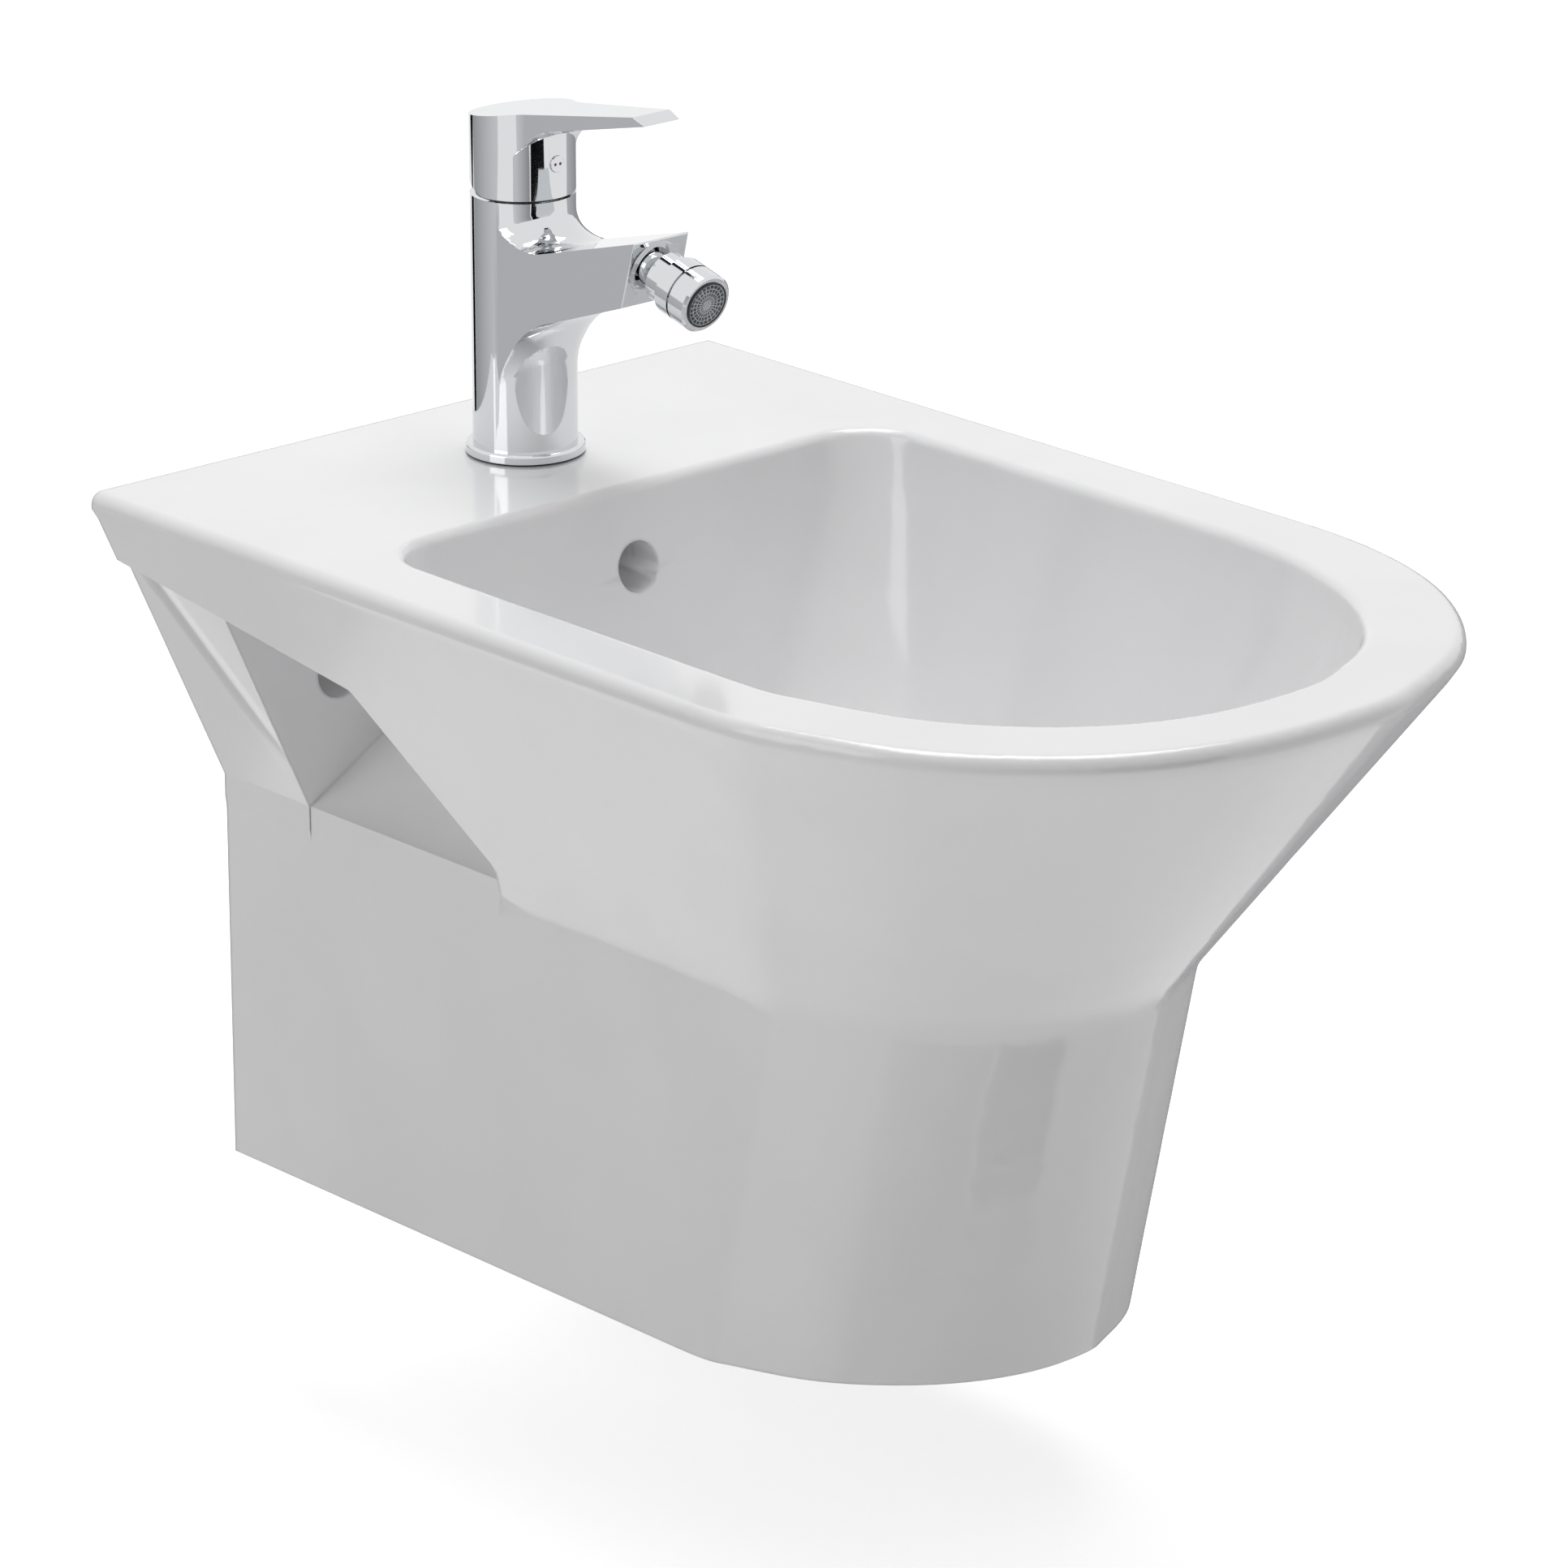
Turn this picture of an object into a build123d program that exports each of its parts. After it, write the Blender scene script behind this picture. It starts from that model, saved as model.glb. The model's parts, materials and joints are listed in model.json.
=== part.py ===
from build123d import *
from math import cos, pi, radians, sin, tan
import os

# Wall hung bidet with a single lever tap and a push waste, in millimetres.
# X is to the right seen from the room, the wall is the plane Y = 0, the front is towards -Y
# and +Z is up. The origin is on the wall, half way between the two wall stud holes.

# Ceramic body
overall_width = 350.0
overall_depth = 555.0
body_height = 315.0
stud_height = 232.0
stud_spacing = 180.0
stud_hole_radius = 12.0
slab_depth = 58.0
rim_edge_radius = 5.5
rim_straight = 365.0
rim_fullness = 2.15
rim_lip_depth = 7.0
band_depth = 12.0
band_inset = 3.2
skirt_width = 215.0
skirt_height = 165.0
skirt_bottom_depth = 409.0
skirt_top_depth = 446.0
skirt_straight = 290.0
skirt_top_straight = 325.0
skirt_fullness = 1.9
flare_blend_radius = 30.0
shell = 13.0

# Bowl
bowl_half_width = 138.0
bowl_rear = 142.0
bowl_front = 518.0
bowl_fall = 148.0
bowl_corner = 28.0
bowl_fullness = 2.15
bowl_edge_radius = 4.3
deck_thickness = 19.0
service_half_width = 54.0
service_depth = 131.0

# Side pockets for reaching the wall nuts
pocket_inner = 66.0
pocket_floor_slope = 30.0
band_height = 32.0
band_slope = 0.19
band_rear_inset = 5.5
pocket_nose = 139.0
pocket_front = 190.0
pocket_front_rise = 71.5

# Overflow and waste seat
overflow_radius = 11.0
overflow_drop = 35.0
duct_radius = 9.0
duct_wall = 8.0
duct_depth = 118.0
duct_outlet_drop = 24.0
waste_depth = 235.0
waste_hole_radius = 23.0
waste_boss_radius = 40.0
waste_boss_height = 46.0
waste_recess = 3.0

# Tap body and spout
tap_depth = 75.0
tap_hole_radius = 17.5
tap_radius = 22.5
ring_radius = 25.7
ring_height = 4.2
base_seal_height = 0.8
base_opening_radius = 14.5
body_top = 114.0
spout_tilt = 15.0
spout_reach = 84.9
spout_height = 96.9
plate_width = 30.6
plate_height = 30.0
spout_under_slope = 19.3
spout_under_radius = 25.0
spout_top_radius = 13.0
spout_side_inset = 0.8
spout_edge_radius = 0.6
waterway_radius = 4.5
inlet_spread = 8.5
inlet_forward = 3.0
inlet_radius = 5.0
inlet_depth = 12.0
port_radius = 3.0
outlet_forward = 9.5
outlet_radius = 4.0

# Mixing cartridge
cartridge_radius = 17.5
cartridge_gap = 0.3
seat_height = 78.0
port_seal_height = 1.5
housing_base = 4.0
housing_wall = 2.7
housing_height = 25.0
fixed_disc_height = 4.0
moving_disc_radius = 11.0
moving_disc_height = 3.9
carrier_height = 4.0
rotor_neck_radius = 11.0
rotor_flange_height = 6.2
nut_height = 7.0
pivot_height = 104.0
pivot_pin_radius = 1.5
spindle_width = 7.9
spindle_shank = 6.0
spindle_top = 134.0
foot_radius = 2.6
foot_arm = 9.6
collar_radius = 20.0
collar_height = 1.7

# Lever
lever_gap = 1.1
lever_wedge = 18.9
lever_top_height = 150.3
lever_top_rise = 0.155
lever_length = 82.4
lever_end_length = 89.4
lever_end_drop = 3.9
lever_root_half_width = 15.0
lever_root_forward = 27.6
lever_end_half_width = 10.2
lever_under_start = 36.0
lever_under_height = 148.8
lever_arch_radius = 35.0
lever_arch_start = 14.5
lever_arch_height = 134.4
lever_blend_radius = 15.0
indicator_height = 130.0
indicator_radius = 3.65
indicator_depth = 2.0
indicator_proud = 0.5
mark_radius = 0.65
mark_spread = 1.35
mark_depth = 0.3
grub_radius = 2.5

# Swivel aerator, measured from the spout's end plate along its axis
nipple_radius = 8.0
nipple_length = 9.0
nipple_flange_radius = 12.8
nipple_flange = 1.2
neck_radius = 4.6
ball_radius = 7.5
ball_offset = 6.5
ball_gap = 0.2
seat_wall = 1.3
socket_radius = 11.0
socket_start = 4.7
socket_line = 14.2
collar_line = 0.3
sleeve_radius = 12.9
sleeve_end = 22.0
sleeve_groove = 1.0
nozzle_radius = 12.9
nozzle_length = 9.6
insert_radius = 10.2
insert_face = 0.6
grid_radius = 9.4
grid_rings = 5
grid_spokes = 12
grid_bar = 0.4

# Tap fixing under the deck
stud_radius = 4.0
stud_back = 9.5
stud_engagement = 14.0
stud_length = 95.0
clamp_radius = 24.0
clamp_gasket_height = 3.0
clamp_height = 3.0
clamp_slot_half_width = 14.0
clamp_slot_back = 2.6
stud_nut_width = 13.0
stud_nut_height = 15.0

# Waste fitting
tail_radius = 20.95
tail_bore_radius = 17.0
tail_length = 86.0
tail_joint_length = 22.0
tail_relief_height = 2.5
tail_relief_depth = 1.2
flange_radius = 31.5
flange_height = 3.0
flange_seal_height = 1.5
lower_seal_height = 5.0
lower_seal_radius = 33.0
lock_nut_width = 56.0
lock_nut_height = 10.0
plug_travel = 9.0
plug_radius = 27.0
plug_height = 4.0
plug_seal_height = 3.0
stem_radius = 4.0
hub_radius = 8.0
hub_height = 5.0
hub_drop = 31.0
spoke_width = 3.0
spring_radius = 8.0
spring_wire = 1.6
stem_nut_radius = 6.5
stem_nut_height = 5.0
slot_width = 12.0
slot_height = 9.0

# Clearances
thread_gap = 0.05
shaft_gap = 0.05
sliding_gap = 0.3

# Heights worked out from the sizes above
rim_z = body_height - stud_height
skirt_z = -stud_height
kink_z = skirt_z + skirt_height
flare_z = rim_z - band_depth
deck_underside_z = rim_z - deck_thickness
bowl_floor_z = rim_z - bowl_fall
waste_seat_z = bowl_floor_z - waste_recess
overflow_z = rim_z - overflow_drop
duct_outlet_z = waste_seat_z - duct_outlet_drop
skirt_half_width = skirt_width / 2
rim_half_width = overall_width / 2
flare_slope = (rim_half_width - band_inset - skirt_half_width) / (flare_z - kink_z)

# Planes and axes of the tap, of its spout's end plate and of the waste
tap_floor = Plane((0, -tap_depth, rim_z))
tap_side = Plane((0, -tap_depth, rim_z), x_dir=(0, 1, 0), z_dir=(1, 0, 0))
tilt_cos = cos(radians(spout_tilt))
tilt_sin = sin(radians(spout_tilt))
plate_centre = (0, -tap_depth - spout_reach, rim_z + spout_height)
plate_plane = Plane(plate_centre, x_dir=(1, 0, 0), z_dir=(0, -tilt_cos, -tilt_sin))
plate_section = Plane(plate_centre, x_dir=(1, 0, 0), z_dir=(0, tilt_sin, -tilt_cos))
plate_axis = Axis(plate_centre, (0, -tilt_cos, -tilt_sin))
waste_floor = Plane((0, -waste_depth, waste_seat_z))


def nose_points(half_width, straight, tip, fullness):
    """Points of one quarter of a super-ellipse, from the straight side to the front tip."""
    count = 6
    points = [(half_width, -straight)]
    for step in range(1, count):
        turn = pi / 2 * step / count
        across = half_width * cos(turn) ** (2 / fullness)
        points.append((across, -straight - (tip - straight) * sin(turn) ** (2 / fullness)))
    points.append((0, -tip))
    return points


def body_outline(half_width, straight, tip, fullness, wall=0.0):
    """Outline of the body at one level: square at the wall, round at the front."""
    right_points = nose_points(half_width, straight, tip, fullness)
    left_points = [(-x, y) for x, y in reversed(right_points)]
    with BuildSketch(mode=Mode.PRIVATE) as outline:
        with BuildLine():
            Polyline((-half_width, -straight), (-half_width, wall), (half_width, wall),
                     (half_width, -straight))
            Spline(*right_points, tangents=((0, -1), (-1, 0)))
            Spline(*left_points, tangents=((-1, 0), (0, 1)))
        make_face()
    return outline.sketch


def bowl_outline(half_width, rear, tip, corner, grow=0.0):
    """Outline of the bowl at one level, grown all round by a wall."""
    half_width = half_width + grow
    rear = rear - grow
    tip = tip + grow
    corner = corner + grow
    straight = tip - (tip - rear) * 0.45
    right_points = nose_points(half_width, straight, tip, bowl_fullness)
    left_points = [(-x, y) for x, y in reversed(right_points)]
    with BuildSketch(mode=Mode.PRIVATE) as outline:
        with BuildLine():
            RadiusArc((-half_width, -rear - corner), (-half_width + corner, -rear), corner)
            Line((-half_width + corner, -rear), (half_width - corner, -rear))
            RadiusArc((half_width - corner, -rear), (half_width, -rear - corner), corner)
            Line((half_width, -rear - corner), (half_width, -straight))
            Spline(*right_points, tangents=((0, -1), (-1, 0)))
            Spline(*left_points, tangents=((-1, 0), (0, 1)))
            Line((-half_width, -straight), (-half_width, -rear - corner))
        make_face()
    return outline.sketch


# Each level of the bowl: share of the fall, then how far the side, rear and front draw in
bowl_levels = (
    (0.0, 0.0, 0.0, 0.0, 0.0),
    (0.1, 1.5, 2.5, 4.0, 3.0),
    (0.3, 7.5, 7.0, 18.0, 8.0),
    (0.5, 17.0, 12.5, 37.0, 15.0),
    (0.7, 31.0, 20.0, 67.0, 22.0),
    (0.86, 49.0, 30.0, 104.0, 26.0),
    (0.95, 72.0, 43.0, 150.0, 22.0),
    (1.0, 98.0, 56.0, 225.0, 6.0),
)


def bowl_solid(grow):
    """The bowl's inside, or its outside when grown by a wall."""
    with BuildPart(mode=Mode.PRIVATE) as solid:
        for share, side, rear, front, corner in bowl_levels:
            with BuildSketch(Plane.XY.offset(rim_z + 1 - share * (bowl_fall + 1) - grow)):
                add(bowl_outline(bowl_half_width - side, bowl_rear + rear, bowl_front - front,
                                 bowl_corner + corner, grow))
        loft()
    return solid.part


# The hollow behind and under the bowl, open to the wall and to the floor
with BuildPart() as hollow:
    with BuildSketch(Plane.XY.offset(skirt_z - 1)):
        add(body_outline(skirt_half_width - shell, skirt_straight, skirt_bottom_depth - shell,
                         skirt_fullness, wall=1.0))
    with BuildSketch(Plane.XY.offset(kink_z - sliding_gap)):
        add(body_outline(skirt_half_width - shell, skirt_top_straight, skirt_top_depth - shell,
                         skirt_fullness, wall=1.0))
    loft(ruled=True)
    with BuildSketch(Plane.XY.offset(kink_z - shell)):
        with Locations((0, (1.0 - service_depth) / 2)):
            Rectangle(2 * service_half_width, service_depth + 1.0)
    extrude(amount=deck_underside_z - kink_z + shell)
    add(bowl_solid(shell), mode=Mode.SUBTRACT)
    with BuildSketch(waste_floor.offset(-waste_boss_height)):
        Circle(waste_boss_radius)
    extrude(amount=waste_boss_height, mode=Mode.SUBTRACT)
    with BuildSketch(Plane((0, -duct_depth, duct_outlet_z - duct_radius - duct_wall))):
        Circle(duct_radius + duct_wall)
        with Locations((0, -(waste_depth - duct_depth) / 2)):
            Rectangle(2 * (duct_radius + duct_wall), waste_depth - duct_depth)
    extrude(amount=2 * (duct_radius + duct_wall), mode=Mode.SUBTRACT)
    with BuildSketch(Plane((0, -duct_depth, duct_outlet_z))):
        Circle(duct_radius + duct_wall)
    extrude(amount=deck_underside_z - duct_outlet_z, mode=Mode.SUBTRACT)

# Space outside a line drawn in the front view: the pocket's floor and inner end
pocket_floor_rise = (skirt_half_width - pocket_inner) * tan(radians(pocket_floor_slope))
pocket_floor_z = kink_z + 10.0
band_rear_z = rim_z - band_height
pocket_top_z = band_rear_z - band_slope * pocket_nose
pocket_tail_z = pocket_top_z - pocket_front_rise
with BuildPart() as pocket:
    with BuildSketch(Plane.XZ) as pocket_front_view:
        with BuildLine():
            Polyline((skirt_half_width, kink_z - 15), (rim_half_width + 10, kink_z - 15),
                     (rim_half_width + 10, rim_z), (pocket_inner, rim_z),
                     (pocket_inner, pocket_floor_z + pocket_floor_rise),
                     (skirt_half_width, pocket_floor_z), close=True)
        make_face()
    extrude(amount=pocket_front + 10)
    with BuildSketch(Plane.YZ) as pocket_side_view:
        with BuildLine():
            Polyline((-slab_depth, kink_z - 20), (-slab_depth, band_rear_z - band_slope * slab_depth),
                     (-pocket_nose, pocket_top_z), (-pocket_front, pocket_tail_z),
                     (-pocket_front + 4, pocket_tail_z - 13), (-pocket_front + 15, kink_z - 20), close=True)
        make_face()
        fillet(pocket_side_view.vertices().sort_by(Axis.Y)[3:5], 5)
    extrude(amount=rim_half_width + 20, mode=Mode.INTERSECT)
    add(bowl_solid(shell), mode=Mode.SUBTRACT)

# The wall flange's side stands a little behind the band above it
with BuildPart() as flange_side:
    with BuildSketch(Plane.XZ) as flange_front_view:
        with BuildLine():
            flange_foot = skirt_half_width + 0.7
            flange_head = flange_foot + flare_slope * (rim_z - kink_z) - band_rear_inset
            Polyline((flange_foot, kink_z - 15), (flange_foot, pocket_floor_z), (flange_head, rim_z),
                     (rim_half_width + 10, rim_z), (rim_half_width + 10, kink_z - 15), close=True)
        make_face()
    extrude(amount=slab_depth + 1)
    with BuildSketch(Plane.YZ):
        with BuildLine():
            Polyline((1, kink_z - 20), (1, band_rear_z),
                     (-slab_depth - 1, band_rear_z - band_slope * slab_depth),
                     (-slab_depth - 1, kink_z - 20), close=True)
        make_face()
    extrude(amount=rim_half_width + 20, mode=Mode.INTERSECT)

with BuildPart() as ceramic_body:
    with BuildSketch(Plane.XY.offset(skirt_z)):
        add(body_outline(skirt_half_width, skirt_straight, skirt_bottom_depth, skirt_fullness))
    with BuildSketch(Plane.XY.offset(kink_z)):
        add(body_outline(skirt_half_width, skirt_top_straight, skirt_top_depth, skirt_fullness))
    with BuildSketch(Plane.XY.offset(flare_z)):
        add(body_outline(rim_half_width - band_inset, rim_straight, overall_depth - band_inset, rim_fullness))
    for lip_z in (rim_z - rim_lip_depth, rim_z):
        with BuildSketch(Plane.XY.offset(lip_z)):
            add(body_outline(rim_half_width, rim_straight, overall_depth, rim_fullness))
    loft(ruled=True)
    kink_edges = ceramic_body.edges().filter_by_position(Axis.Z, kink_z - 0.1, kink_z + 0.1)
    fillet(kink_edges.filter_by_position(Axis.Y, -overall_depth, -1), flare_blend_radius)
    rim_edges = ceramic_body.edges().filter_by_position(Axis.Z, rim_z - 0.1, rim_z + 0.1)
    fillet(rim_edges.filter_by_position(Axis.Y, -overall_depth, -1), rim_edge_radius)
    add(bowl_solid(0.0), mode=Mode.SUBTRACT)
    bowl_edges = ceramic_body.edges().filter_by_position(Axis.Z, rim_z - 0.1, rim_z + 0.1)
    bowl_edges = bowl_edges.filter_by_position(Axis.Y, -bowl_front - 1, -bowl_rear + 1)
    fillet(bowl_edges.filter_by_position(Axis.X, -bowl_half_width - 1, bowl_half_width + 1), bowl_edge_radius)
    add(hollow.part, mode=Mode.SUBTRACT)
    add(pocket.part, mode=Mode.SUBTRACT)
    add(flange_side.part, mode=Mode.SUBTRACT)
    add(mirror(pocket.part, about=Plane.YZ, mode=Mode.PRIVATE), mode=Mode.SUBTRACT)
    add(mirror(flange_side.part, about=Plane.YZ, mode=Mode.PRIVATE), mode=Mode.SUBTRACT)
    with BuildSketch(Plane.XZ.offset(-1)):
        with GridLocations(stud_spacing, 1, 2, 1):
            Circle(stud_hole_radius)
    extrude(amount=slab_depth + 2, mode=Mode.SUBTRACT)
    with BuildSketch(tap_floor.offset(1)):
        Circle(tap_hole_radius)
    extrude(amount=-deck_thickness - 2, mode=Mode.SUBTRACT)
    with BuildSketch(waste_floor):
        Circle(flange_radius + 1)
    extrude(amount=waste_recess + shell, mode=Mode.SUBTRACT)
    with BuildSketch(waste_floor.offset(1)):
        Circle(waste_hole_radius)
    extrude(amount=-waste_boss_height - 2, mode=Mode.SUBTRACT)
    with BuildSketch(Plane.XZ.offset(duct_depth)):
        with Locations((0, overflow_z)):
            Circle(overflow_radius)
    extrude(amount=bowl_rear + 20 - duct_depth, mode=Mode.SUBTRACT)
    with BuildSketch(Plane((0, -duct_depth, duct_outlet_z))):
        Circle(duct_radius)
    extrude(amount=overflow_z - duct_outlet_z, mode=Mode.SUBTRACT)
    with BuildSketch(Plane.XZ.offset(duct_depth)):
        with Locations((0, duct_outlet_z)):
            Circle(duct_radius)
    extrude(amount=waste_depth - duct_depth, mode=Mode.SUBTRACT)


# Rubber seal and chrome ring under the tap
with BuildPart() as base_seal:
    with BuildSketch(tap_floor):
        Circle(ring_radius - 1.2)
        Circle(tap_hole_radius + 0.5, mode=Mode.SUBTRACT)
    extrude(amount=base_seal_height)

ring_top = base_seal_height + ring_height
with BuildPart() as base_ring:
    with BuildSketch(tap_floor.offset(base_seal_height)):
        Circle(ring_radius)
        Circle(base_opening_radius, mode=Mode.SUBTRACT)
    extrude(amount=ring_height)
    outer_edges = base_ring.edges().filter_by(GeomType.CIRCLE).sort_by(SortBy.RADIUS)[-2:]
    chamfer(outer_edges.sort_by(Axis.Z)[-1], 0.9)

# Side view of the spout: a wedge with its end plate at right angles to its top
plate_top = (-spout_reach - plate_height / 2 * tilt_sin, spout_height + plate_height / 2 * tilt_cos)
plate_foot = (-spout_reach + plate_height / 2 * tilt_sin, spout_height - plate_height / 2 * tilt_cos)
spout_top_root = plate_top[1] + plate_top[0] * tan(radians(spout_tilt))
spout_under_root = plate_foot[1] + plate_foot[0] * tan(radians(spout_under_slope))
spout_root_half_width = tap_radius - spout_side_inset
spout_taper = (spout_root_half_width - plate_width / 2) / spout_reach
spout_far_half_width = plate_width / 2 - spout_taper * plate_height
cartridge_bore = cartridge_radius + cartridge_gap
with BuildPart() as spout_wedge:
    with BuildSketch(tap_side):
        with BuildLine():
            Polyline((0, spout_under_root), (0, spout_top_root), plate_top, plate_foot, close=True)
        make_face()
    extrude(amount=tap_radius, both=True)
    with BuildSketch(tap_floor):
        with BuildLine():
            Polyline((spout_root_half_width, 0), (spout_far_half_width, -spout_reach - plate_height),
                     (-spout_far_half_width, -spout_reach - plate_height), (-spout_root_half_width, 0),
                     close=True)
        make_face()
    extrude(amount=body_top, mode=Mode.INTERSECT)

with BuildPart() as tap_body:
    with BuildSketch(tap_floor.offset(ring_top)):
        Circle(tap_radius)
    extrude(amount=body_top - ring_top)
    add(spout_wedge.part)
    root_edges = tap_body.edges().filter_by(GeomType.ELLIPSE).sort_by(Axis.Z)
    fillet(root_edges[-1], spout_top_radius)
    root_edges = tap_body.edges().filter_by(GeomType.ELLIPSE).sort_by(Axis.Z)
    fillet(root_edges[0], spout_under_radius)
    plate_edges = tap_body.edges().filter_by_position(Axis.Y, -tap_depth - spout_reach - plate_height,
                                                      -tap_depth - spout_reach + plate_height / 4)
    fillet(plate_edges.filter_by(lambda e: e.length < plate_height + 2), spout_edge_radius)
    with BuildSketch(tap_floor.offset(seat_height)):
        Circle(cartridge_bore)
    extrude(amount=body_top - seat_height + 1, mode=Mode.SUBTRACT)
    with BuildSketch(tap_floor.offset(body_top - collar_height + 0.2)):
        Circle(collar_radius + thread_gap)
    extrude(amount=collar_height, mode=Mode.SUBTRACT)
    with BuildSketch(tap_floor.offset(ring_top)):
        with Locations((-inlet_spread, -inlet_forward), (inlet_spread, -inlet_forward)):
            Circle(port_radius)
    extrude(amount=seat_height, mode=Mode.SUBTRACT)
    with BuildSketch(tap_floor.offset(ring_top)):
        with Locations((-inlet_spread, -inlet_forward), (inlet_spread, -inlet_forward)):
            Circle(inlet_radius)
    extrude(amount=inlet_depth, mode=Mode.SUBTRACT)
    with BuildSketch(tap_floor.offset(ring_top)):
        with Locations((0, stud_back)):
            Circle(stud_radius + thread_gap)
    extrude(amount=stud_engagement, mode=Mode.SUBTRACT)
    with BuildSketch(tap_floor.offset(seat_height - 10)):
        with Locations((0, -outlet_forward)):
            Circle(outlet_radius)
    extrude(amount=20, mode=Mode.SUBTRACT)
    waterway_start = Vector(0, -tap_depth - outlet_forward, rim_z + seat_height - 10)
    waterway = Vector(*plate_centre) - waterway_start
    with BuildSketch(Plane(waterway_start, z_dir=waterway)):
        Circle(waterway_radius)
    extrude(amount=waterway.length - nipple_length / 2, mode=Mode.SUBTRACT)
    with BuildSketch(plate_plane.offset(-nipple_length)):
        Circle(nipple_radius + thread_gap)
    extrude(amount=nipple_length + 1, mode=Mode.SUBTRACT)

with BuildPart() as collar_ring:
    with BuildSketch(tap_floor.offset(body_top - collar_height + 0.2)):
        Circle(collar_radius)
        Circle(cartridge_bore, mode=Mode.SUBTRACT)
    extrude(amount=collar_height)

# Mixing cartridge: three seals, a fixed disc, a sliding disc, a rotor and a spindle on a pin
port_places = {
    "port_seal_hot": (-inlet_spread, -inlet_forward, port_radius),
    "port_seal_cold": (inlet_spread, -inlet_forward, port_radius),
    "port_seal_outlet": (0, -outlet_forward, outlet_radius),
}


def port_circles():
    """The three water ports of the cartridge, seen from above."""
    with BuildSketch(mode=Mode.PRIVATE) as ports:
        for x, y, radius in port_places.values():
            with Locations((x, y)):
                Circle(radius)
    return ports.sketch


port_seals = {}
for seal_name, (seal_x, seal_y, seal_bore) in port_places.items():
    with BuildPart() as port_seal:
        with BuildSketch(tap_floor.offset(seat_height)):
            with Locations((seal_x, seal_y)):
                Circle(seal_bore + 1.0)
                Circle(seal_bore, mode=Mode.SUBTRACT)
        extrude(amount=port_seal_height)
    port_seals[seal_name] = port_seal

housing_bottom = seat_height + port_seal_height
housing_top = housing_bottom + housing_height
housing_cavity = cartridge_radius - housing_wall
fixed_disc_bottom = housing_bottom + housing_base
moving_disc_bottom = fixed_disc_bottom + fixed_disc_height
carrier_bottom = moving_disc_bottom + moving_disc_height
carrier_top = carrier_bottom + carrier_height
rotor_bottom = carrier_top + sliding_gap
rotor_shoulder = rotor_bottom + rotor_flange_height
lip_bottom = rotor_shoulder + sliding_gap
nut_top = housing_top + nut_height
rotor_top = nut_top - 0.5
with BuildPart() as cartridge_housing:
    with BuildSketch(tap_floor.offset(housing_bottom)):
        Circle(cartridge_radius)
    extrude(amount=housing_height)
    with BuildSketch(tap_floor.offset(fixed_disc_bottom)):
        Circle(housing_cavity)
    extrude(amount=lip_bottom - fixed_disc_bottom, mode=Mode.SUBTRACT)
    with BuildSketch(tap_floor.offset(lip_bottom - 1)):
        Circle(rotor_neck_radius + sliding_gap)
    extrude(amount=housing_height, mode=Mode.SUBTRACT)
    with BuildSketch(tap_floor.offset(housing_bottom)):
        add(port_circles())
    extrude(amount=housing_base, mode=Mode.SUBTRACT)

with BuildPart() as fixed_disc:
    with BuildSketch(tap_floor.offset(fixed_disc_bottom)):
        Circle(housing_cavity - shaft_gap)
        add(port_circles(), mode=Mode.SUBTRACT)
    extrude(amount=fixed_disc_height)

with BuildPart() as moving_disc:
    with BuildSketch(tap_floor.offset(moving_disc_bottom)):
        Circle(moving_disc_radius)
    extrude(amount=moving_disc_height)
    with BuildSketch(tap_floor.offset(moving_disc_bottom)):
        Circle(moving_disc_radius - 4)
    extrude(amount=moving_disc_height / 2, mode=Mode.SUBTRACT)

with BuildPart() as disc_carrier:
    with BuildSketch(tap_floor.offset(carrier_bottom)):
        Circle(moving_disc_radius)
        Circle(foot_radius + sliding_gap, mode=Mode.SUBTRACT)
    extrude(amount=carrier_height)

with BuildPart() as rotor:
    with BuildSketch(tap_floor.offset(rotor_bottom)):
        Circle(housing_cavity - sliding_gap)
    extrude(amount=rotor_flange_height)
    with BuildSketch(tap_floor.offset(rotor_bottom)):
        Circle(rotor_neck_radius)
    extrude(amount=rotor_top - rotor_bottom)
    with BuildSketch(tap_floor.offset(rotor_bottom)):
        Rectangle(spindle_width + 2 * sliding_gap, 2 * (spindle_width / 2 + 3.1))
    extrude(amount=rotor_top - rotor_bottom, mode=Mode.SUBTRACT)
    with BuildSketch(tap_side.offset(-rotor_neck_radius)):
        with Locations((0, pivot_height)):
            Circle(pivot_pin_radius + shaft_gap)
    extrude(amount=2 * rotor_neck_radius, mode=Mode.SUBTRACT)

pin_half_length = rotor_neck_radius - 2.0
with BuildPart() as pivot_pin:
    with BuildSketch(tap_side.offset(-pin_half_length)):
        with Locations((0, pivot_height)):
            Circle(pivot_pin_radius)
    extrude(amount=2 * pin_half_length)

with BuildPart() as cartridge_nut:
    with BuildSketch(tap_floor.offset(housing_top)):
        Circle(cartridge_bore - thread_gap)
        Circle(rotor_neck_radius + 1, mode=Mode.SUBTRACT)
    extrude(amount=nut_height)
    with BuildSketch(tap_floor.offset(nut_top - 2)):
        with PolarLocations(cartridge_bore - 3, 6):
            Rectangle(4, 3)
    extrude(amount=2, mode=Mode.SUBTRACT)

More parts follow.
